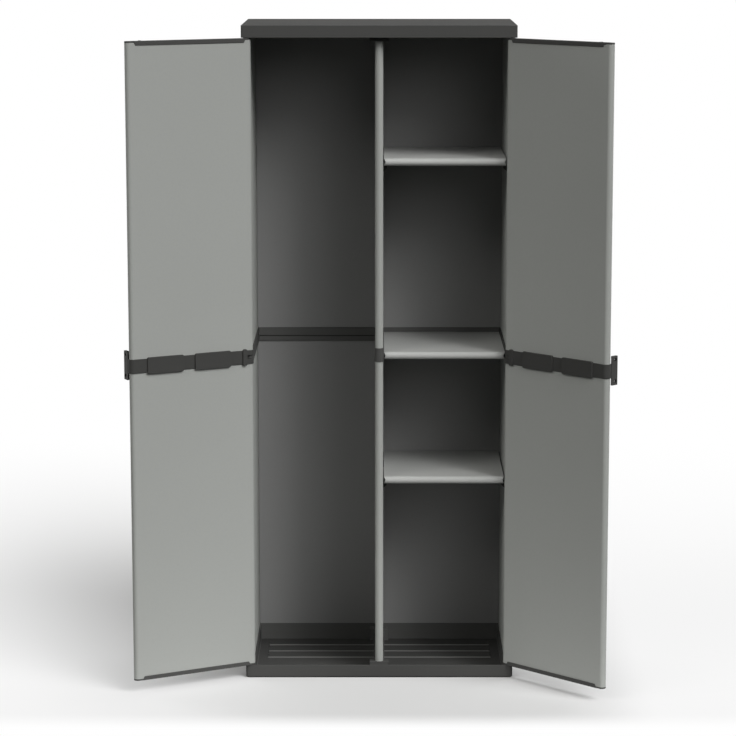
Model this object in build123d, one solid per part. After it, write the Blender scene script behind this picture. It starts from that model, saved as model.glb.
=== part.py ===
from build123d import *
import os

# A tall two-door plastic storage cabinet with its doors part open.
# Millimetres, +Z up, +X to the right seen from the front, the front towards -Y.
# The origin is on the floor under the middle of the base.

# Overall plan
WIDTH = 680.0
DEPTH = 390.0

# Clearances
FIT = 0.3                    # slip fit of a board in its socket, on each side
PIN_HELD = 0.02              # radial, pin in the door that carries it
PIN_RUNNING = 0.06           # radial, pin in the part that it turns in

# Twin-wall boards
BOARD_THICK = 17.0
LOWER_LENGTH = 806.5         # height of the lower boards
UPPER_LENGTH = 801.5         # height of the upper boards
BOARD_SKIN = 1.1
BOARD_WEB = 0.9
BOARD_CELL = 56.0            # web spacing aimed for
NOSE_SIDES = 8               # of the hollow in a round edge, of its pocket and of the pin bosses
SIDE_SETBACK = 27.0          # front plane back to the front edge of the side boards

# Base
BASE_HEIGHT = 33.5           # front wall
BASE_WALL = 3.0
BASE_CORNER = 6.0            # plan radius
BASE_FOOT_CHAMFER = 3.5
FOOT_WALL = 5.0              # outer wall and roof of the hollow under the channel
DECK_TOP = 3.0
CHANNEL_FLOOR = 22.5         # where the boards stand
RIM_WALL = 3.0
RIM_INNER_TOP = 45.0
RIM_OUTER_TOP = 40.0
RIB_THICK = 2.5
RIB_SPACING = 135.0
BAR_COUNT = 3                # raised bars across each compartment
BAR_RISE = 2.5
BAR_DEPTH = 44.0             # front to back
BAR_SPACING = 60.3
BAR_FRONT = -19.0            # front edge of the foremost bar, from the middle of the cabinet
BAR_END_MARGIN = 24.0        # bar end to the rim at the side

# Lid
LID_CHANNEL = 9.0            # how far the lid comes down over the boards
LID_HEIGHT = 30.0
LID_CORNER = 5.0             # plan radius
LID_ROOF = 3.0
LID_RIB_DEPTH = 16.0

# Mid-height connectors of the side, back and divider boards
MID_BAND = 35.0              # height of every mid-height strip
MID_WEB = 3.0                # between lower and upper boards
CONNECTOR_WALL = 3.0
JOINER_WALL = 1.2            # divider joiner and back joiner lips
GROOVE_DROP = 4.0            # decorative groove below the middle of the strip
GROOVE_WIDTH = 2.4
GROOVE_DEPTH = 1.0

# Divider and the sockets that hold its ends
DIVIDER_THICK = 20.0
DIVIDER_SETBACK = 25.0       # front plane back to the divider's round edge
SOCKET_WIDTH = 48.0
SOCKET_WALL = 2.5
SOCKET_LENGTH = 26.0
SOCKET_RISE = 13.5           # above the lower end of the divider
LID_SOCKET_DROP = 10.0       # below the lid
BACK_JOINER_WALL = 2.0
BACK_JOINER_WEB = 2.0
BACK_JOINER_WIDTH = 27.0
BACK_JOINER_LIP = 12.0

# Shelves
SHELF_THICK = 18.0
SHELF_SETBACK = 32.5         # front plane back to the shelf's round edge
SHELF_PLAY = 0.4
SHELF_CORNER = 7.0           # plan radius of the two front corners
LOWER_SEAT = 476.0           # underside of the bottom shelf above the lower end of its boards
UPPER_SEAT = 474.0           # underside of the top shelf above the lower end of its boards
MID_SHELF_DROP = 12.0        # underside of the middle shelf below the middle of the strips
CLIP_REACH = 9.0
CLIP_TIP = 9.0
CLIP_ROOT = 17.0
CLIP_LENGTH = 16.0
CLIP_INSET = 38.0            # clip's middle from the shelf's front and back edges
TONGUE_LENGTH = 9.0
TONGUE_WIDTH = 8.0
TONGUE_HEIGHT = 5.0
TONGUE_DROP = 8.0            # middle of the clip's tongue below the shelf
LEDGE_REACH = 7.5
LEDGE_THICK = 3.5

# Doors
DOOR_THICK = 20.0
HINGE_INSET = 13.4           # hinge axis in from the side of the base
MEETING_GAP = 3.0            # free edge of a door panel to the cabinet's middle
DOOR_LIFT = 0.4              # door above the base
DOOR_DROP = 1.6              # door below the lid
OPEN_LEFT = 152.0            # degrees from closed, as the doors stand
OPEN_RIGHT = 135.7

# Hinges
PIN_RADIUS = 4.0
PIN_BITE = 12.0              # pin length inside the base and the lid
PIN_END_ROOM = 1.0
BOSS_RADIUS = 6.5            # inside the hinge edge of the door panels
BOSS_DEPTH = 18.0
CORNER_BOSS_WIDTH = 16.0     # in the lid
LUG_RADIUS = 8.0
LUG_NECK = 12.0
LUG_THICK = 8.0
LUG_GAP = 0.5                # above and below the lug
LUG_SWING = 1.0              # round the lug

# Door band
BAND_WALL = 1.8
DOOR_WEB = 17.0              # between lower and upper door panels
PAD_HEIGHT = 41.0
PAD_LENGTH = 97.0
PAD_GAP = 31.0
PAD_SHIFT = 7.0              # middle of the pads past the middle of the door's reach
PAD_CHAMFER = 2.5
PAD_RELIEF = 4.0             # out of the band, on the inner face
KNUCKLE_START = 11.0
KNUCKLE_LENGTH = 12.0

# Door caps
CAP_PLATE = 4.0
CAP_SKIN = 1.2
CAP_STRIP = 10.3             # height of the strip on the door's faces
CAP_SLANT = 6.0              # slanted ends of the strip
CAP_HINGE_END = 6.0          # strip's end from the hinge axis
CAP_FREE_END = 18.0          # strip's end from the free edge
NUB_END = 39.5               # catch nub from the free edge
NUB_LENGTH = 5.5             # along the door
NUB_WIDTH = 9.0
NUB_HEIGHT = 1.2

# Padlock plates
PLATE_THICK = 7.0
PLATE_ROOT = 5.0             # inner edge outwards from the middle of the door
PLATE_REACH = 24.0           # inner edge to outer edge
PLATE_HEIGHT = 72.0
PLATE_CHAMFER = 5.0          # inner corners
PLATE_FOOT = 26.0            # foot along the band
PLATE_FOOT_THICK = 2.5
PLATE_FOOT_HEIGHT = 31.0
PADLOCK_RADIUS = 4.3
PADLOCK_SPACING = 53.0
PADLOCK_EDGE = 7.5           # hole axis in from the plate's outer edge

# Plan lines
half_width = WIDTH / 2
front = -DEPTH / 2
back = DEPTH / 2
side_out = half_width - BASE_WALL - FIT
side_in = side_out - BOARD_THICK
side_mid = side_out - BOARD_THICK / 2
back_out = back - BASE_WALL - FIT
back_in = back_out - BOARD_THICK
back_mid = back_out - BOARD_THICK / 2
side_front = front + SIDE_SETBACK
rim_in = side_in - FIT - RIM_WALL
rim_front = side_front - FIT - RIM_WALL
rim_back = back_in - FIT - RIM_WALL
divider_front = front + DIVIDER_SETBACK
divider_back = rim_back - FIT
divider_face = DIVIDER_THICK / 2

# Heights
lower_bottom = CHANNEL_FLOOR
lower_top = lower_bottom + LOWER_LENGTH
mid = lower_top + MID_WEB / 2
upper_bottom = lower_top + MID_WEB
upper_top = upper_bottom + UPPER_LENGTH
lid_bottom = upper_top - LID_CHANNEL
lid_top = lid_bottom + LID_HEIGHT
socket_top = CHANNEL_FLOOR + SOCKET_RISE
socket_bottom = lid_bottom - LID_SOCKET_DROP
band_bottom = mid - MID_BAND / 2
band_top = mid + MID_BAND / 2

# Doors, seen in a frame with the hinge axis at the origin and the free edge along +X
pivot_x = half_width - HINGE_INSET
pivot_y = front + DOOR_THICK / 2
door_nose = DOOR_THICK / 2
door_reach = pivot_x - MEETING_GAP
door_bottom = BASE_HEIGHT + DOOR_LIFT
door_top = lid_bottom - DOOR_DROP
band_cover = FIT + BAND_WALL
band_face = door_nose + band_cover
band_end = door_reach + band_cover

# Shelves
shelf_left = divider_face + FIT + JOINER_WALL + SHELF_PLAY
shelf_right = side_in - FIT - CONNECTOR_WALL - SHELF_PLAY
shelf_front = front + SHELF_SETBACK
shelf_back = back_in - FIT - CONNECTOR_WALL - SHELF_PLAY
bottom_shelf = lower_bottom + LOWER_SEAT
middle_shelf = mid - MID_SHELF_DROP
top_shelf = upper_bottom + UPPER_SEAT
clip_rows = (shelf_front + CLIP_INSET, shelf_back - CLIP_INSET)


def span(x0, x1, y0, y1):
    """A rectangle between two corners."""
    return Pos((x0 + x1) / 2, (y0 + y1) / 2) * Rectangle(x1 - x0, y1 - y0)


def rise(plan, low, high):
    """A plan outline raised from one height to another."""
    return extrude(Pos(0, 0, low) * plan, high - low, dir=(0, 0, 1))


def through_x(side_view, x0, x1):
    """An outline seen from the side, in Y and Z, run from x0 to x1."""
    return extrude(Plane.YZ.offset(x0) * side_view, x1 - x0, dir=(1, 0, 0))


def through_y(front_view, y0, y1):
    """An outline seen from the front, in X and Z, run from y0 to y1."""
    return extrude(Plane.XZ.offset(-y0) * front_view, y1 - y0, dir=(0, 1, 0))


def board_outline(start, end, thick, round_start=False, round_end=False, nose_shape=Circle):
    """Section outline of a board that runs along X, with full-round edges where asked."""
    nose = thick / 2
    flat_start = start + nose if round_start else start
    flat_end = end - nose if round_end else end
    outline = span(flat_start, flat_end, -nose, nose)
    if round_start:
        outline += Pos(flat_start, 0) * nose_shape(nose)
    if round_end:
        outline += Pos(flat_end, 0) * nose_shape(nose)
    return outline


def octagon(radius):
    """A regular outline with few sides and its corners on a circle."""
    return RegularPolygon(radius, NOSE_SIDES)


def pocket_nose(radius):
    """A regular outline with few sides that a round edge just fits in."""
    return RegularPolygon(radius, NOSE_SIDES, major_radius=False, rotation=180 / NOSE_SIDES)


def board_section(start, end, thick, **edges):
    """A board's two skins and the webs between them."""
    outer = board_outline(start, end, thick, **edges)
    hollow = board_outline(
        start + BOARD_SKIN, end - BOARD_SKIN, thick - 2 * BOARD_SKIN, nose_shape=octagon, **edges)
    cells = max(2, round((end - start) / BOARD_CELL))
    pitch = (end - start) / cells
    webs = [Pos(start + pitch * i, 0) * Rectangle(BOARD_WEB, thick) for i in range(1, cells)]
    return outer - hollow + webs


def front_to_back(section, x):
    """A section drawn along X, turned to run from the front to the back at x."""
    return Pos(x, 0) * Rot(0, 0, 90) * section


def both_sides(shape):
    """A shape on the right and its mirror image on the left."""
    return shape + mirror(shape, about=Plane.YZ)


def side_outline(grow, nose_shape=Circle):
    """Plan outline of the right side board, grown all round."""
    edge = board_outline(
        side_front - grow, back_out + grow, BOARD_THICK + 2 * grow, round_start=True, nose_shape=nose_shape)
    return front_to_back(edge, side_mid)


def divider_outline(grow, nose_shape=Circle):
    """Plan outline of the divider, grown all round."""
    edge = board_outline(
        divider_front - grow, divider_back + grow, DIVIDER_THICK + 2 * grow, round_start=True,
        nose_shape=nose_shape)
    return front_to_back(edge, 0)


def panel_channel():
    """Plan of the channel that takes the side and back boards."""
    across = span(-side_mid, side_mid, back_in - FIT, back_out + FIT)
    return across + both_sides(side_outline(FIT, pocket_nose))


def tray_plan(start):
    """Plan of the space inside the rim, from its front edge on."""
    return span(-rim_in, rim_in, start, rim_back)


def front_rim_plan():
    """Plan of the hollow in the front rim of the lid."""
    return span(-half_width + BASE_WALL, half_width - BASE_WALL, front + BASE_WALL, rim_front - RIM_WALL)


def rib_plan(along_front):
    """Plan of the stiffening ribs from front to back, and of those from side to side where asked."""
    count = round(WIDTH / RIB_SPACING)
    step = WIDTH / count
    ribs = [Pos(-half_width + step * i, 0) * Rectangle(RIB_THICK, DEPTH) for i in range(1, count)]
    if along_front:
        rows = round(DEPTH / RIB_SPACING)
        step = DEPTH / rows
        ribs += [Pos(0, front + step * i) * Rectangle(WIDTH, RIB_THICK) for i in range(1, rows)]
    return Sketch() + ribs


def divider_socket_plan():
    """Plan of the two blocks that hold the front and rear ends of the divider."""
    front_wall = divider_front - FIT - SOCKET_WALL
    half = SOCKET_WIDTH / 2
    ahead = span(-half, half, front_wall, front_wall + SOCKET_LENGTH)
    behind = span(-half, half, rim_back - SOCKET_LENGTH, rim_back)
    return ahead + behind


def under_rim_plan():
    """Plan of the ribbed hollow under the channel of the base."""
    outside = Rectangle(WIDTH - 2 * FOOT_WALL, DEPTH - 2 * FOOT_WALL)
    inside = span(-rim_in - RIM_WALL, rim_in + RIM_WALL, front, rim_back + RIM_WALL)
    return outside - inside - rib_plan(True)


def divider_seat_plan():
    """Plan of the rail that the divider stands in, with the blocks that hold its ends."""
    half = divider_face + FIT + SOCKET_WALL
    return divider_socket_plan() + span(-half, half, divider_front, rim_back)


def corner_bosses(low, high):
    """The bosses round the two hinge pins in the lid."""
    boss = Pos(pivot_x, pivot_y) * Rectangle(CORNER_BOSS_WIDTH, CORNER_BOSS_WIDTH)
    return both_sides(rise(boss, low, high))


def corner_holes(low, high):
    """The two hinge pin holes in the base or the lid."""
    return both_sides(rise(Pos(pivot_x, pivot_y) * Circle(PIN_RADIUS + PIN_RUNNING), low, high))


def deck_bars():
    """The raised bars with sloping sides on the deck of both compartments."""
    bar = span(divider_face, rim_in - BAR_END_MARGIN, 0, BAR_DEPTH)
    places = [Pos(0, BAR_FRONT + BAR_SPACING * i, DECK_TOP) for i in range(BAR_COUNT)]
    return both_sides(Part() + [extrude(place * bar, BAR_RISE, taper=45) for place in places])


def base():
    """Moulded base: a deep tray with raised bars, in a hollow rim with a channel for the boards."""
    plan = RectangleRounded(WIDTH, DEPTH, BASE_CORNER)
    tray = tray_plan(front + BASE_WALL)
    body = rise(plan, 0, BASE_HEIGHT)
    body = chamfer(body.faces().sort_by(Axis.Z)[0].edges(), BASE_FOOT_CHAMFER)
    rim = span(-half_width, half_width, rim_front, back) - tray
    inner_rim = span(-side_mid, side_mid, rim_front, back_mid) - tray
    body += rise(plan & rim, BASE_HEIGHT, RIM_OUTER_TOP)
    body += rise(inner_rim, BASE_HEIGHT, RIM_INNER_TOP)
    body -= rise(tray, DECK_TOP, RIM_INNER_TOP)
    body -= rise(under_rim_plan(), 0, CHANNEL_FLOOR - FOOT_WALL)
    body += deck_bars()
    body += rise(divider_seat_plan(), 0, socket_top)
    body -= rise(span(-divider_face, divider_face, divider_front, rim_back), 0, CHANNEL_FLOOR - BASE_WALL)
    body -= rise(panel_channel() + divider_outline(FIT, pocket_nose), CHANNEL_FLOOR, RIM_INNER_TOP)
    return body - corner_holes(BASE_HEIGHT - PIN_BITE - PIN_END_ROOM, BASE_HEIGHT)


def lid():
    """Moulded lid: a flat top and a skirt over a ribbed hollow, with the same channel as the base."""
    body = rise(RectangleRounded(WIDTH, DEPTH, LID_CORNER), lid_bottom, lid_top)
    ceiling = lid_top - LID_ROOF
    ribs_bottom = ceiling - LID_RIB_DEPTH
    body -= rise(tray_plan(rim_front), lid_bottom, ribs_bottom)
    body -= rise(tray_plan(rim_front) - rib_plan(True), ribs_bottom, ceiling)
    body -= rise(front_rim_plan() - rib_plan(False), lid_bottom, ceiling)
    body += rise(divider_socket_plan(), socket_bottom, ceiling)
    body += corner_bosses(lid_bottom, ceiling)
    body -= rise(panel_channel(), lid_bottom, upper_top)
    body -= rise(divider_outline(FIT, pocket_nose), socket_bottom, upper_top)
    return body - corner_holes(lid_bottom, lid_bottom + PIN_BITE + PIN_END_ROOM)


def tongue_slots(wall, underside):
    """Slots for the tongues of a shelf's clips in an upright face at X = wall."""
    slot = Box(2 * (TONGUE_LENGTH + FIT), TONGUE_WIDTH + 2 * FIT, TONGUE_HEIGHT + 2 * FIT)
    return [Pos(wall, y, underside - TONGUE_DROP) * slot for y in clip_rows]


def side_board(low, high, underside):
    """A right-hand side board with the clip slots of one shelf."""
    section = front_to_back(
        board_section(side_front, back_out, BOARD_THICK, round_start=True), side_mid)
    return rise(section, low, high) - tongue_slots(side_in, underside)


def back_board(low, high):
    """A right-hand back board, between the side board and the back joiner."""
    section = Pos(0, back_mid) * board_section(BACK_JOINER_WEB / 2 + FIT, side_in - FIT, BOARD_THICK)
    return rise(section, low, high)


def divider_board(low, high, underside):
    """A divider board with a round front edge and the clip slots of one shelf."""
    section = front_to_back(
        board_section(divider_front, divider_back, DIVIDER_THICK, round_start=True), 0)
    return rise(section, low, high) - tongue_slots(divider_face, underside)


def back_joiner(low, high):
    """Upright strip that clasps both back boards and the rear edge of the divider."""
    half = BACK_JOINER_WIDTH / 2
    front_face = back_in - FIT
    rear_face = back_out + FIT
    web = span(-BACK_JOINER_WEB / 2, BACK_JOINER_WEB / 2, front_face, rear_face)
    clasp = span(-half, half, front_face - BACK_JOINER_WALL, front_face)
    clasp += span(-half, half, rear_face, rear_face + BACK_JOINER_WALL)
    lip_in = divider_face + FIT
    lip = span(lip_in, lip_in + JOINER_WALL, front_face - BACK_JOINER_WALL - BACK_JOINER_LIP, front_face)
    return rise(web + clasp + both_sides(lip), low, high)


def sockets(outline, web):
    """Room for the ends of a lower and an upper board, with a web left between them."""
    return rise(outline, mid - MID_BAND, mid - web / 2) + rise(outline, mid + web / 2, mid + MID_BAND)


def side_groove():
    """Outline of the shallow groove, opening towards the left."""
    half = GROOVE_WIDTH / 2
    return Polygon((0, half), (0, -half), (GROOVE_DEPTH, 0), align=None)


def side_connector():
    """Right-hand mid-height strip round the side boards, with the lug of the middle hinge."""
    cover = side_outline(FIT + CONNECTOR_WALL) & span(0, half_width, front, back)
    body = rise(cover, band_bottom, band_top) - sockets(side_outline(FIT), MID_WEB)
    body -= rise(span(0, side_in - FIT / 2, back_in - FIT, back), band_bottom, band_top)
    groove = Pos(side_in - FIT - CONNECTOR_WALL, mid - GROOVE_DROP) * side_groove()
    body -= through_y(groove, front, back)
    neck = Pos(pivot_x, 0) * span(-LUG_NECK / 2, LUG_NECK / 2, pivot_y, rim_front + RIM_WALL)
    lug = neck - side_outline(FIT) + Pos(pivot_x, pivot_y) * Circle(LUG_RADIUS)
    lug -= Pos(pivot_x, pivot_y) * Circle(PIN_RADIUS + PIN_RUNNING)
    return body + rise(lug, mid - LUG_THICK / 2, mid + LUG_THICK / 2)


def shelf_ledges(wall, outward):
    """Two ledges under the middle shelf, standing out of an upright face at X = wall."""
    tip = wall + outward * LEDGE_REACH
    profile = Polygon(
        (wall, middle_shelf), (tip, middle_shelf), (tip, middle_shelf - LEDGE_THICK / 2),
        (wall, middle_shelf - LEDGE_THICK), align=None)
    return [through_y(profile, y - CLIP_LENGTH / 2, y + CLIP_LENGTH / 2) for y in clip_rows]


def back_connector():
    """Mid-height strip across the back boards."""
    end = side_in - 2 * FIT - CONNECTOR_WALL
    front_face = back_in - FIT - CONNECTOR_WALL
    body = rise(span(-end, end, front_face, back), band_bottom, band_top)
    body -= sockets(span(-half_width, half_width, back_in - FIT, back_out + FIT), MID_WEB)
    groove = Pos(front_face, mid - GROOVE_DROP) * side_groove()
    return body - through_x(groove, -half_width, half_width)


def divider_joiner():
    """Mid-height strip round the divider boards, with ledges for the middle shelf."""
    cover = divider_outline(FIT + JOINER_WALL) & span(-half_width, half_width, front, divider_back)
    body = rise(cover, band_bottom, band_top) - sockets(divider_outline(FIT), MID_WEB)
    return body + shelf_ledges(divider_face + FIT + JOINER_WALL, 1)


def shelf(underside):
    """Hollow shelf with a round front edge and round front corners."""
    section = board_section(shelf_front, shelf_back, SHELF_THICK, round_start=True)
    body = through_x(Pos(0, underside + SHELF_THICK / 2) * section, shelf_left, shelf_right)
    plan = span(shelf_left, shelf_right, shelf_front, shelf_back)
    plan = fillet(plan.vertices().group_by(Axis.Y)[0], SHELF_CORNER)
    return body & rise(plan, underside, underside + SHELF_THICK)


def shelf_clip(wall, outward, y, underside):
    """Wedge-shaped clip with a tongue, under the end of a shelf."""
    tip = wall + outward * CLIP_REACH
    wedge = Polygon(
        (wall, underside), (tip, underside), (tip, underside - CLIP_TIP),
        (wall, underside - CLIP_ROOT), align=None)
    body = through_y(wedge, y - CLIP_LENGTH / 2, y + CLIP_LENGTH / 2)
    tongue = Box(TONGUE_LENGTH, TONGUE_WIDTH, TONGUE_HEIGHT)
    return body + Pos(wall - outward * TONGUE_LENGTH / 2, y, underside - TONGUE_DROP) * tongue


def shelf_clips(underside):
    """The four clips of one shelf."""
    left = [shelf_clip(divider_face, 1, y, underside) for y in clip_rows]
    right = [shelf_clip(side_in, -1, y, underside) for y in clip_rows]
    return Compound([clip.solid() for clip in left + right])


def door_outline(grow):
    """Plan outline of a door panel, grown all round."""
    return board_outline(
        -door_nose - grow, door_reach + grow, DOOR_THICK + 2 * grow, round_start=True, round_end=True)


def door_panel(low, high):
    """Door panel, round at the hinge edge and at the free edge."""
    section = board_section(-door_nose, door_reach, DOOR_THICK, round_start=True, round_end=True)
    return rise(section, low, high)


def pin_boss(low, high):
    """Boss round the hinge pin inside the hinge edge of a door panel."""
    return rise(octagon(BOSS_RADIUS), low, high)


def pin_hole(low, high):
    """Hole that holds the hinge pin in a door part."""
    return rise(Circle(PIN_RADIUS + PIN_HELD), low, high)


def band_pad(start, length):
    """One wide stretch of the door band, seen from the front."""
    pad = Pos(start + length / 2, mid) * Rectangle(length, PAD_HEIGHT)
    return chamfer(pad.vertices(), PAD_CHAMFER)


def band_pads():
    """All wide stretches of the door band, seen from the front."""
    start = door_reach / 2 + PAD_SHIFT - PAD_LENGTH - PAD_GAP / 2
    long_pads = [band_pad(start + (PAD_LENGTH + PAD_GAP) * i, PAD_LENGTH) for i in range(2)]
    return Sketch() + [band_pad(KNUCKLE_START, KNUCKLE_LENGTH)] + long_pads


def door_band():
    """Mid-height strip of a door: joins its panels and carries the middle hinge knuckles."""
    pads = band_pads()
    face = pads + Pos(door_reach / 2, mid) * Rectangle(2 * door_reach, MID_BAND)
    body = rise(door_outline(band_cover), mid - PAD_HEIGHT / 2, mid + PAD_HEIGHT / 2)
    body &= through_y(face, -DOOR_THICK, DOOR_THICK)
    body += through_y(pads, band_face - BAND_WALL, band_face + PAD_RELIEF)
    body -= sockets(door_outline(FIT), DOOR_WEB)
    boss_end = DOOR_WEB / 2 + BOSS_DEPTH
    body += pin_boss(mid - boss_end, mid + boss_end)
    slot = span(-DOOR_THICK, LUG_RADIUS + LUG_SWING, -DOOR_THICK, DOOR_THICK)
    body -= rise(slot, mid - LUG_THICK / 2 - LUG_GAP, mid + LUG_THICK / 2 + LUG_GAP)
    return body - pin_hole(mid - boss_end, mid + boss_end)


def bottom_cap():
    """Cap on the lower end of a door: an end plate, a strip on both faces and the pin boss."""
    start = CAP_HINGE_END
    end = door_reach - CAP_FREE_END
    plate_top = door_bottom + CAP_PLATE
    strip_top = door_bottom + CAP_STRIP
    strip = Polygon(
        (start, door_bottom), (end, door_bottom), (end - CAP_SLANT, strip_top), (start + CAP_SLANT, strip_top),
        align=None)
    face = door_nose + FIT + CAP_SKIN
    body = through_y(strip, -face, face) - rise(door_outline(FIT), plate_top, strip_top)
    body += rise(door_outline(0), door_bottom, plate_top)
    body += pin_boss(plate_top, plate_top + BOSS_DEPTH)
    return body - pin_hole(door_bottom, plate_top + BOSS_DEPTH)


def top_cap():
    """The same cap turned over for the upper end of a door, with a catch nub."""
    middle = Plane.XY.offset((door_bottom + door_top) / 2)
    nub = Pos(door_reach - NUB_END, 0) * Rectangle(NUB_LENGTH, NUB_WIDTH)
    return mirror(bottom_cap(), about=middle) + rise(nub, door_top, door_top + NUB_HEIGHT)


def padlock_plate():
    """Plate at the free edge with two padlock holes, on a foot that lies on the band."""
    outer = -PLATE_ROOT - PLATE_REACH
    inner_face = Plane.YZ.offset(band_end - PLATE_THICK)
    plate = Pos((outer - PLATE_ROOT) / 2, mid) * Rectangle(PLATE_REACH, PLATE_HEIGHT)
    plate = chamfer(plate.vertices().group_by(Axis.X)[-1], PLATE_CHAMFER)
    holes = [
        Pos(outer + PADLOCK_EDGE, mid + PADLOCK_SPACING * side / 2) * Circle(PADLOCK_RADIUS) for side in (-1, 1)]
    body = extrude(inner_face * (plate - holes), PLATE_THICK)
    body -= rise(door_outline(band_cover + FIT), mid - PLATE_HEIGHT / 2, mid + PLATE_HEIGHT / 2)
    foot = Pos(band_end - PLATE_FOOT / 2, mid) * Rectangle(PLATE_FOOT, PLATE_FOOT_HEIGHT)
    return body + through_y(foot, -band_face - PLATE_FOOT_THICK, -band_face)


def hinge_pins():
    """The bottom, middle and top pins of a door."""
    boss_end = DOOR_WEB / 2 + BOSS_DEPTH
    inside = CAP_PLATE + BOSS_DEPTH
    reaches = (
        (BASE_HEIGHT - PIN_BITE, door_bottom + inside),
        (mid - boss_end, mid + boss_end),
        (door_top - inside, lid_bottom + PIN_BITE))
    pins = [rise(Circle(PIN_RADIUS), low, high) for low, high in reaches]
    return Compound([pin.solid() for pin in pins])


def on_left_door(shape):
    """A door part placed on the left hinge with the door part open."""
    return Pos(-pivot_x, pivot_y) * Rot(0, 0, -OPEN_LEFT) * shape


def on_right_door(shape):
    """A door part mirrored and placed on the right hinge with the door part open."""
    return Pos(pivot_x, pivot_y) * Rot(0, 0, OPEN_RIGHT) * mirror(shape, about=Plane.YZ)


def on_left(shape):
    """The left-hand twin of a right-hand part of the cabinet."""
    return mirror(shape, about=Plane.YZ)


def cabinet_nodes():
    """Every part of the standing cabinet by name."""
    rows = {
        "lower": (lower_bottom, lower_top, bottom_shelf),
        "upper": (upper_bottom, upper_top, top_shelf)}
    joiner_runs = {
        "lower": (RIM_INNER_TOP + FIT, band_bottom - FIT),
        "upper": (band_top + FIT, socket_bottom - FIT)}
    nodes = {"base": base(), "lid": lid()}
    for row, (low, high, shelf_under) in rows.items():
        side = side_board(low, high, shelf_under)
        nodes["side_panel_right_" + row] = side
        nodes["side_panel_left_" + row] = on_left(side)
        nodes["back_panel_right_" + row] = back_board(low, high)
        nodes["back_panel_left_" + row] = on_left(back_board(low, high))
        nodes["divider_" + row] = divider_board(low, high, shelf_under)
        nodes["back_joiner_" + row] = back_joiner(*joiner_runs[row])
    nodes["side_connector_left"] = on_left(side_connector())
    nodes["side_connector_right"] = side_connector() + shelf_ledges(side_in - FIT - CONNECTOR_WALL, -1)
    nodes["back_connector"] = back_connector()
    nodes["divider_joiner"] = divider_joiner()
    nodes["shelf_top"] = shelf(top_shelf)
    nodes["shelf_middle"] = shelf(middle_shelf)
    nodes["shelf_bottom"] = shelf(bottom_shelf)
    nodes["shelf_clips_top"] = shelf_clips(top_shelf)
    nodes["shelf_clips_bottom"] = shelf_clips(bottom_shelf)
    return nodes


def door_nodes():
    """Every part of both doors by name."""
    pieces = {
        "lower_panel": door_panel(door_bottom + CAP_PLATE, mid - DOOR_WEB / 2),
        "upper_panel": door_panel(mid + DOOR_WEB / 2, door_top - CAP_PLATE),
        "band": door_band(),
        "bottom_cap": bottom_cap(),
        "top_cap": top_cap(),
        "padlock_plate": padlock_plate(),
        "hinge_pins": hinge_pins()}
    nodes = {"left_door_" + name: on_left_door(piece) for name, piece in pieces.items()}
    nodes.update({"right_door_" + name: on_right_door(piece) for name, piece in pieces.items()})
    return nodes


os.makedirs("parts", exist_ok=True)
for name, piece in {**cabinet_nodes(), **door_nodes()}.items():
    export_step(piece, os.path.join("parts", name + ".step"))
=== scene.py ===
import math

import bpy
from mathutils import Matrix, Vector

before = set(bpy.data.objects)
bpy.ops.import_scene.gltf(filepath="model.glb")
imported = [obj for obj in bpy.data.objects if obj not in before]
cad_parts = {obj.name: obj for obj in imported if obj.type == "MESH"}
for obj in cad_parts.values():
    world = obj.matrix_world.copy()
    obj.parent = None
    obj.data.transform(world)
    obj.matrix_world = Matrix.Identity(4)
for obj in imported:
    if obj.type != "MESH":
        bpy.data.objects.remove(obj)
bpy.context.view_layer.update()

# The looks of a two-door plastic storage cabinet with its doors part open.
# Metres, in the frame of the solids: +Z up, +X to the right, the front towards -Y.

# Camera, solved from the photograph's edges
CAMERA_PLACE = (0.0, -6.9249, 1.949)
CAMERA_TILT = math.radians(80.33)
CAMERA_LENS = 133.3
CAMERA_SENSOR = 36.0
CAMERA_SHIFT = -0.0152
CAMERA_REACH = 100.0

# Plastics: linear colours
PANEL_COLOUR = (0.300, 0.308, 0.294)
BACK_COLOUR = (0.266, 0.265, 0.263)
SHELF_COLOUR = (0.370, 0.375, 0.364)
MOULDING_COLOUR = (0.063, 0.063, 0.061)
BAND_COLOUR = (0.046, 0.046, 0.044)
PIN_COLOUR = (0.040, 0.040, 0.041)

# Plastics: roughness and specular level
BOARD_GLOSS = (0.50, 0.03)
SHELF_GLOSS = (0.40, 0.10)
MOULDING_GLOSS = (0.80, 0.013)
BAND_GLOSS = (0.60, 0.05)
PIN_GLOSS = (0.45, 0.3)

# Plastics: scale and depth of the moulded grain
BOARD_GRAIN = (620.0, 0.00008)
MOULDING_GRAIN = (900.0, 0.00012)
PIN_GRAIN = (1200.0, 0.00002)
GRAIN_STRENGTH = 0.35

# Faint lines along the boards, by how a noise is stretched
DRAW_SCALE = 260.0
DRAW_STRENGTH = 0.15
DRAWN_UPRIGHT = (1.0, 1.0, 0.012)
DRAWN_ACROSS = (0.012, 1.0, 1.0)

# Tone and gloss that vary: noise scales per metre, the part of the noise that counts, shares and shades
NOISE_CORE = (0.3, 0.7)
DRIFT_SCALE = 2.3
DRIFT_DARK = 0.985
DRIFT_PALE = 1.015
MOTTLE_SCALE = 160.0
MOTTLE_CORE = (0.45, 0.75)
MOTTLE_SHARE = 0.20
MOTTLE_SHADE = 0.90
SMEAR_SCALE = 7.5
SMEAR_STRETCH = (1.0, 1.0, 0.45)
SMEAR_DEPTH = 0.05

# Paler edges, in patches: partly wear, partly a painted highlight
WEAR_HIGHLIGHT_RADIUS = 0.0014
WEAR_HIGHLIGHT_SAMPLES = 4
WEAR_HIGHLIGHT_TURN = (0.80, 0.995)    # how much a rounded normal agrees with the face's own, at an edge and off it
WEAR_HIGHLIGHT_SCALE = 34.0
WEAR_HIGHLIGHT_CORE = (0.38, 0.66)
WEAR_HIGHLIGHT_LEAST = 0.15
WEAR_HIGHLIGHT_SHARE = 0.30
WEAR_HIGHLIGHT_SHADE = 1.35
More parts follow.
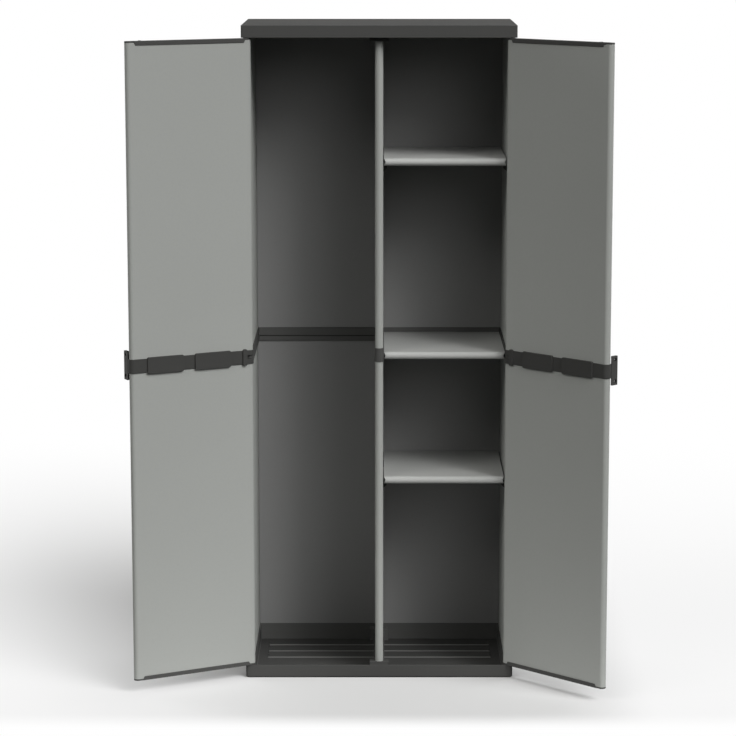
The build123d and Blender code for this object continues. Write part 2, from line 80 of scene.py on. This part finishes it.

# Painted light and shade on single faces of the mouldings: painted highlights on low flanks and at the rear,
# painted shade in a groove
SLOPING = (0.3, 0.95)        # how far up a sloping face looks, from 0 for upright to 1 for level
FACING = 0.7                 # least share of a direction in a face that looks that way
FLANK_TOP = 0.008            # height under which sloping faces get a painted pale highlight
# how much paler the painted highlight on the low flanks is
FLANK_HIGHLIGHT_SHADE = 2.1
REAR_START = 0.1             # depth from which mouldings that look to the front are painted paler, as light
REAR_WALL = 0.172            # depth just before the rear wall of the tray
# how much paler the painted light at the rear is
REAR_PAINTED_LIGHT = 1.75
# how much darker the painted shade in the groove is
GROOVE_PAINTED_SHADE = 0.4

# Soft edges of the mouldings and boards
WELD_DISTANCE = 1e-5
SHARP_ANGLE = math.radians(28)
FLAT_ANGLE = math.radians(0.2)
BOARD_EDGE = 0.0003
MOULDING_EDGE = 0.0006
EDGE_SEGMENTS = 2

# Floor: its colour, and each fade to white as where it starts, where it ends and the share of white there
FLOOR_HALF = 14.0
FLOOR_COLOUR = (0.64, 0.64, 0.64)
FLOOR_ROUGHNESS = 0.9
FADE_LEFT = (0.20, 1.10, 0.70)
FADE_LEFT_TILT = 0.3         # how much the left fade draws back behind the cabinet
FADE_RIGHT = (0.44, 0.70, 0.75)
FADE_BACK = (0.3, 3.0, 1.0)
FADE_FRONT = (0.50, 0.64, 1.0)

# Floor: the light that it throws up, most before the doors
NEAR_BOUNCE = (0.75, 0.75, 0.75)
FAR_BOUNCE = (0.02, 0.02, 0.02)
BOUNCE_MIDDLE = (0.38, -0.50, 0.0)   # before the right door; before the left one it is mirrored
BOUNCE_START = 0.20
BOUNCE_END = 0.48

# Light
WHITE = (1.0, 1.0, 1.0)
WARM = (1.0, 0.993, 0.968)
LAMP_SPREAD = math.radians(32.0)
FILL_LEVEL = 0.01


def add_node(tree, kind, values=None, **settings):
    """A new node with its settings, and its inputs set or linked by name or number."""
    node = tree.nodes.new(kind)
    for key, value in settings.items():
        setattr(node, key, value)
    for socket, value in (values or {}).items():
        if isinstance(value, bpy.types.NodeSocket):
            tree.links.new(value, node.inputs[socket])
        else:
            node.inputs[socket].default_value = value
    return node


def start_material(name):
    """A new material with its empty tree, a principled shader and the output that shows it."""
    material = bpy.data.materials.new(name)
    material.use_nodes = True
    tree = material.node_tree
    tree.nodes.clear()
    shader = add_node(tree, "ShaderNodeBsdfPrincipled")
    output = add_node(tree, "ShaderNodeOutputMaterial", {"Surface": shader.outputs["BSDF"]})
    return material, tree, shader, output


def object_place(tree):
    """Object coordinates."""
    return add_node(tree, "ShaderNodeTexCoord").outputs["Object"]


def axes_of(tree, vector):
    """The X, Y and Z of a vector."""
    return add_node(tree, "ShaderNodeSeparateXYZ", {"Vector": vector}).outputs


def noise(tree, scale, detail=3.0, stretch=(1.0, 1.0, 1.0)):
    """A noise value from 0 to 1 over the object."""
    mapping = add_node(tree, "ShaderNodeMapping", {"Vector": object_place(tree), "Scale": stretch})
    values = {"Vector": mapping.outputs["Vector"], "Scale": scale, "Detail": detail}
    return add_node(tree, "ShaderNodeTexNoise", values).outputs["Fac"]


def spread(tree, value, low, high, from_low=0.0, from_high=1.0, curve="LINEAR"):
    """A value moved from one range into another, held at its ends."""
    values = {"Value": value, "From Min": from_low, "From Max": from_high, "To Min": low, "To Max": high}
    return add_node(tree, "ShaderNodeMapRange", values, interpolation_type=curve).outputs["Result"]


def calculate(tree, operation, *values):
    """The result of a sum on one to three values."""
    return add_node(tree, "ShaderNodeMath", dict(enumerate(values)), operation=operation).outputs["Value"]


def multiply(tree, first, second):
    """The product of two values."""
    return calculate(tree, "MULTIPLY", first, second)


def above(tree, value, limit):
    """1 where a value is more than a limit, otherwise 0."""
    return calculate(tree, "GREATER_THAN", value, limit)


def below(tree, value, limit):
    """1 where a value is less than a limit, otherwise 0."""
    return calculate(tree, "LESS_THAN", value, limit)


def bump(tree, height, strength, depth):
    """A bump node that raises a surface by a height value."""
    values = {"Height": height, "Strength": strength, "Distance": depth}
    return add_node(tree, "ShaderNodeBump", values)


def mix_colours(tree, factor, first, second):
    """The first colour at factor 0, the second at 1."""
    node = add_node(tree, "ShaderNodeMix", data_type="RGBA")
    sockets = {"Factor_Float": factor, "A_Color": first, "B_Color": second}
    for socket in node.inputs:
        if socket.identifier not in sockets:
            continue
        value = sockets[socket.identifier]
        if isinstance(value, bpy.types.NodeSocket):
            tree.links.new(value, socket)
        else:
            socket.default_value = (*value, 1.0)
    return next(socket for socket in node.outputs if socket.identifier == "Result_Color")


def scaled(colour, factor):
    """A colour made lighter or darker."""
    return tuple(min(1.0, part * factor) for part in colour)


def edge_wear_and_highlight(tree):
    """A mask that is high in patches along outer and inner edges, partly for wear and partly for a painted
    highlight.
    """
    rounded = add_node(tree, "ShaderNodeBevel", {"Radius": WEAR_HIGHLIGHT_RADIUS}, samples=WEAR_HIGHLIGHT_SAMPLES)
    surface = add_node(tree, "ShaderNodeNewGeometry")
    turned = add_node(
        tree, "ShaderNodeVectorMath", {0: rounded.outputs["Normal"], 1: surface.outputs["Normal"]},
        operation="DOT_PRODUCT")
    edge = spread(tree, turned.outputs["Value"], 1.0, 0.0, *WEAR_HIGHLIGHT_TURN)
    patches = spread(tree, noise(tree, WEAR_HIGHLIGHT_SCALE, detail=4.0), WEAR_HIGHLIGHT_LEAST, 1.0, *WEAR_HIGHLIGHT_CORE)
    return multiply(tree, edge, patches)


def facing(tree):
    """The direction that a face looks in, split into its axes."""
    return axes_of(tree, add_node(tree, "ShaderNodeNewGeometry").outputs["True Normal"])


def sloping(tree, slope):
    """1 where a slope is neither upright nor level, otherwise 0."""
    least, most = SLOPING
    return multiply(tree, above(tree, slope, least), below(tree, slope, most))


def painted_flank_highlights(tree):
    """A mask that is 1 on the upward sloping faces close to the floor, where a highlight is painted."""
    low = below(tree, axes_of(tree, object_place(tree))["Z"], FLANK_TOP)
    return multiply(tree, low, sloping(tree, facing(tree)["Z"]))


def painted_groove_shade(tree):
    """A mask that is 1 on the faces that slope up or down, where shade in the groove is painted."""
    return sloping(tree, calculate(tree, "ABSOLUTE", facing(tree)["Z"]))


def painted_rear_light(tree):
    """A mask that is 1 at the rear, on faces that look to the front and on tops before the tray's wall,
    where light is painted.
    """
    place = axes_of(tree, object_place(tree))
    look = facing(tree)
    inside = multiply(tree, below(tree, place["Y"], REAR_WALL), above(tree, place["Z"], FLANK_TOP))
    tops = multiply(tree, inside, above(tree, look["Z"], FACING))
    fronts = below(tree, look["Y"], -FACING)
    either = calculate(tree, "MAXIMUM", fronts, tops)
    return multiply(tree, either, above(tree, place["Y"], REAR_START))


def plastic(name, colour, grain, gloss, draw=None, painted_light=()):
    """Plastic with a slow tone drift, fine mottling and grain, paler edges that are partly wear and partly a
    painted highlight and, where drawn, faint lines.

    Each entry of the painted light is a mask and how much lighter or darker the plastic is painted there, as
    highlight or shade.
    """
    material, tree, shader, _ = start_material(name)
    grain_scale, grain_depth = grain
    roughness, specular = gloss

    drift = spread(tree, noise(tree, DRIFT_SCALE), 0.0, 1.0, *NOISE_CORE)
    tone = mix_colours(tree, drift, scaled(colour, DRIFT_DARK), scaled(colour, DRIFT_PALE))
    mottle = spread(tree, noise(tree, MOTTLE_SCALE, detail=4.0), 0.0, MOTTLE_SHARE, *MOTTLE_CORE)
    tone = mix_colours(tree, mottle, tone, scaled(colour, MOTTLE_SHADE))
    # paler edges: partly wear, partly a painted highlight
    worn_and_lit = multiply(tree, edge_wear_and_highlight(tree), WEAR_HIGHLIGHT_SHARE)
    tone = mix_colours(tree, worn_and_lit, tone, scaled(colour, WEAR_HIGHLIGHT_SHADE))
    # painted light and shade, each by its mask
    for mask, shade in painted_light:
        tone = mix_colours(tree, mask(tree), tone, scaled(colour, shade))
    tree.links.new(tone, shader.inputs["Base Color"])

    smears = noise(tree, SMEAR_SCALE, detail=5.0, stretch=SMEAR_STRETCH)
    smeared = spread(tree, smears, roughness - SMEAR_DEPTH, roughness + SMEAR_DEPTH, *NOISE_CORE)
    tree.links.new(smeared, shader.inputs["Roughness"])
    shader.inputs["Specular IOR Level"].default_value = specular

    relief = bump(tree, noise(tree, grain_scale), GRAIN_STRENGTH, grain_depth)
    if draw:
        lines = bump(tree, noise(tree, DRAW_SCALE, detail=2.0, stretch=draw), DRAW_STRENGTH, grain_depth)
        tree.links.new(relief.outputs["Normal"], lines.inputs["Normal"])
        relief = lines
    tree.links.new(relief.outputs["Normal"], shader.inputs["Normal"])
    return material


def seen_directly(tree):
    """1 for rays from the camera and for mirrored or refracted ones, otherwise 0."""
    path = add_node(tree, "ShaderNodeLightPath").outputs
    seen = calculate(tree, "MAXIMUM", path["Is Camera Ray"], path["Is Glossy Ray"])
    return calculate(tree, "MAXIMUM", seen, path["Is Transmission Ray"])


def fade_out(tree, value, fade):
    """1 before a fade, and what the white leaves of the floor after it."""
    start, end, white_share = fade
    return spread(tree, value, 1.0, 1.0 - white_share, start, end, curve="SMOOTHSTEP")


def floor_material():
    """Pale matt floor that keeps the shadow, fades to white and throws light up only before the doors."""
    material, tree, shader, output = start_material("studio_floor")
    shader.inputs["Roughness"].default_value = FLOOR_ROUGHNESS
    shader.inputs["Specular IOR Level"].default_value = 0.0
    seen = seen_directly(tree)
    place = axes_of(tree, object_place(tree))
    across, back = place["X"], place["Y"]

    aside = calculate(tree, "ABSOLUTE", across)
    mirrored = add_node(tree, "ShaderNodeCombineXYZ", {"X": aside, "Y": back}).outputs["Vector"]
    reach = add_node(
        tree, "ShaderNodeVectorMath", {0: mirrored, 1: BOUNCE_MIDDLE}, operation="DISTANCE").outputs["Value"]
    near = spread(tree, reach, 1.0, 0.0, BOUNCE_START, BOUNCE_END, curve="SMOOTHSTEP")
    thrown = mix_colours(tree, near, FAR_BOUNCE, NEAR_BOUNCE)
    tree.links.new(mix_colours(tree, seen, thrown, FLOOR_COLOUR), shader.inputs["Base Color"])

    leftward = calculate(tree, "MULTIPLY_ADD", back, -FADE_LEFT_TILT, multiply(tree, across, -1.0))
    kept = fade_out(tree, across, FADE_RIGHT)
    kept = multiply(tree, kept, fade_out(tree, leftward, FADE_LEFT))
    kept = multiply(tree, kept, fade_out(tree, back, FADE_BACK))
    kept = multiply(tree, kept, fade_out(tree, multiply(tree, back, -1.0), FADE_FRONT))
    share = multiply(tree, spread(tree, kept, 1.0, 0.0), seen)
    white = add_node(tree, "ShaderNodeEmission", {"Color": (*WHITE, 1.0), "Strength": 1.0})
    blend = add_node(tree, "ShaderNodeMixShader", {0: share, 1: shader.outputs["BSDF"], 2: white.outputs[0]})
    tree.links.new(blend.outputs[0], output.inputs["Surface"])
    return material


def make_floor():
    """One wide plane under the cabinet."""
    mesh = bpy.data.meshes.new("studio_floor")
    corners = [(-FLOOR_HALF, -FLOOR_HALF, 0.0), (FLOOR_HALF, -FLOOR_HALF, 0.0),
               (FLOOR_HALF, FLOOR_HALF, 0.0), (-FLOOR_HALF, FLOOR_HALF, 0.0)]
    mesh.from_pydata(corners, [], [(0, 1, 2, 3)])
    floor = bpy.data.objects.new("studio_floor", mesh)
    bpy.context.scene.collection.objects.link(floor)
    mesh.materials.append(floor_material())


def make_world():
    """White to the camera, a weak grey fill to everything else."""
    world = bpy.data.worlds.new("studio")
    world.use_nodes = True
    tree = world.node_tree
    tree.nodes.clear()
    fill = add_node(tree, "ShaderNodeBackground", {"Color": (*WHITE, 1.0), "Strength": FILL_LEVEL})
    white = add_node(tree, "ShaderNodeBackground", {"Color": (*WHITE, 1.0), "Strength": 1.0})
    blend = add_node(
        tree, "ShaderNodeMixShader", {0: seen_directly(tree), 1: fill.outputs[0], 2: white.outputs[0]})
    add_node(tree, "ShaderNodeOutputWorld", {"Surface": blend.outputs[0]})
    bpy.context.scene.world = world


def soft_lamp(name, turn, height, strength, colour=WHITE):
    """A wide far-off lamp, by its turn to the right of the front and its height, both in degrees."""
    data = bpy.data.lights.new(name, "SUN")
    data.angle = LAMP_SPREAD
    data.energy = strength
    data.color = colour
    lamp = bpy.data.objects.new(name, data)
    bpy.context.scene.collection.objects.link(lamp)
    turn = math.radians(turn)
    height = math.radians(height)
    towards = Vector((
        math.sin(turn) * math.cos(height), -math.cos(turn) * math.cos(height), math.sin(height)))
    lamp.rotation_euler = towards.to_track_quat("Z", "Y").to_euler()


def make_camera():
    """The camera at the photograph's viewing angle."""
    data = bpy.data.cameras.new("camera")
    data.lens = CAMERA_LENS
    data.sensor_width = CAMERA_SENSOR
    data.shift_x = CAMERA_SHIFT
    data.clip_end = CAMERA_REACH
    camera = bpy.data.objects.new("camera", data)
    bpy.context.scene.collection.objects.link(camera)
    camera.location = CAMERA_PLACE
    camera.rotation_euler = (CAMERA_TILT, 0.0, 0.0)
    bpy.context.scene.camera = camera


def clean_group():
    """A node group that welds a mesh, drops its stored normals and shades it smooth."""
    group = bpy.data.node_groups.new("weld_and_smooth", "GeometryNodeTree")
    group.interface.new_socket("Geometry", in_out="INPUT", socket_type="NodeSocketGeometry")
    group.interface.new_socket("Geometry", in_out="OUTPUT", socket_type="NodeSocketGeometry")
    shape = add_node(group, "NodeGroupInput").outputs[0]
    values = {"Geometry": shape, "Distance": WELD_DISTANCE}
    shape = add_node(group, "GeometryNodeMergeByDistance", values).outputs[0]
    for attribute in ("custom_normal", "sharp_edge"):
        values = {"Geometry": shape, "Name": attribute}
        shape = add_node(group, "GeometryNodeRemoveAttribute", values).outputs[0]
    values = {"Geometry": shape, "Shade Smooth": True}
    shape = add_node(group, "GeometryNodeSetShadeSmooth", values).outputs[0]
    add_node(group, "NodeGroupOutput", {0: shape})
    return group


def soften(piece, group, width):
    """Small round edges on a node, made by modifiers."""
    piece.modifiers.new("weld", "NODES").node_group = group
    flat = piece.modifiers.new("flat_faces", "DECIMATE")
    flat.decimate_type = "DISSOLVE"
    flat.angle_limit = FLAT_ANGLE
    edges = piece.modifiers.new("edges", "BEVEL")
    edges.width = width
    edges.segments = EDGE_SEGMENTS
    edges.limit_method = "ANGLE"
    edges.angle_limit = SHARP_ANGLE
    edges.use_clamp_overlap = False
    edges.miter_outer = "MITER_ARC"
    piece.modifiers.new("normals", "WEIGHTED_NORMAL").keep_sharp = False


def dress_nodes():
    """A material and soft edges for every node."""
    moulding = (MOULDING_COLOUR, MOULDING_GRAIN, MOULDING_GLOSS)
    # painted highlights on the base's low flanks and rear faces; on the strip, a painted highlight at the
    # rear and painted shade in its groove
    base_painted_light = ((painted_rear_light, REAR_PAINTED_LIGHT), (painted_flank_highlights, FLANK_HIGHLIGHT_SHADE))
    strip_painted_light = ((painted_rear_light, REAR_PAINTED_LIGHT), (painted_groove_shade, GROOVE_PAINTED_SHADE))
    finishes = {
        "panel": plastic("panel_plastic", PANEL_COLOUR, BOARD_GRAIN, BOARD_GLOSS, DRAWN_UPRIGHT),
        "back": plastic("back_plastic", BACK_COLOUR, BOARD_GRAIN, BOARD_GLOSS, DRAWN_UPRIGHT),
        "shelf": plastic("shelf_plastic", SHELF_COLOUR, BOARD_GRAIN, SHELF_GLOSS, DRAWN_ACROSS),
        "moulding": plastic("moulding_plastic", *moulding),
        "base": plastic("base_plastic_painted_light", *moulding, painted_light=base_painted_light),
        "strip": plastic("strip_plastic_painted_light", *moulding, painted_light=strip_painted_light),
        "band": plastic("band_plastic", BAND_COLOUR, MOULDING_GRAIN, BAND_GLOSS),
        "pin": plastic("pin_plastic", PIN_COLOUR, PIN_GRAIN, PIN_GLOSS)}

    # Nodes whose finish isn't the one of their slot, by a part of their name
    own_finishes = {
        "base": "base", "back_connector": "strip", "back_panel": "back", "back_joiner": "back",
        "door_band": "band", "plate": "band"}
    widths = {"panel": BOARD_EDGE, "shelf": BOARD_EDGE, "moulding": MOULDING_EDGE, "pin": BOARD_EDGE}
    group = clean_group()
    for name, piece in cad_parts.items():
        slot = piece.data.materials[0].name
        finish = next((own_finishes[part] for part in own_finishes if part in name), slot)
        piece.material_slots[0].material = finishes[finish]
        soften(piece, group, widths[slot])


make_camera()
make_world()
make_floor()
soft_lamp("key_right", turn=50.0, height=40.0, strength=2.46)
soft_lamp("right", turn=35.0, height=40.0, strength=0.97)
soft_lamp("front", turn=20.0, height=22.0, strength=0.36)
soft_lamp("left", turn=-40.0, height=40.0, strength=0.60, colour=WARM)
soft_lamp("far_left", turn=-60.0, height=32.0, strength=0.62, colour=WARM)
soft_lamp("back_right", turn=130.0, height=12.0, strength=1.60)
soft_lamp("back_left", turn=-130.0, height=12.0, strength=1.60)
dress_nodes()
bpy.context.scene.view_settings.view_transform = "Standard"
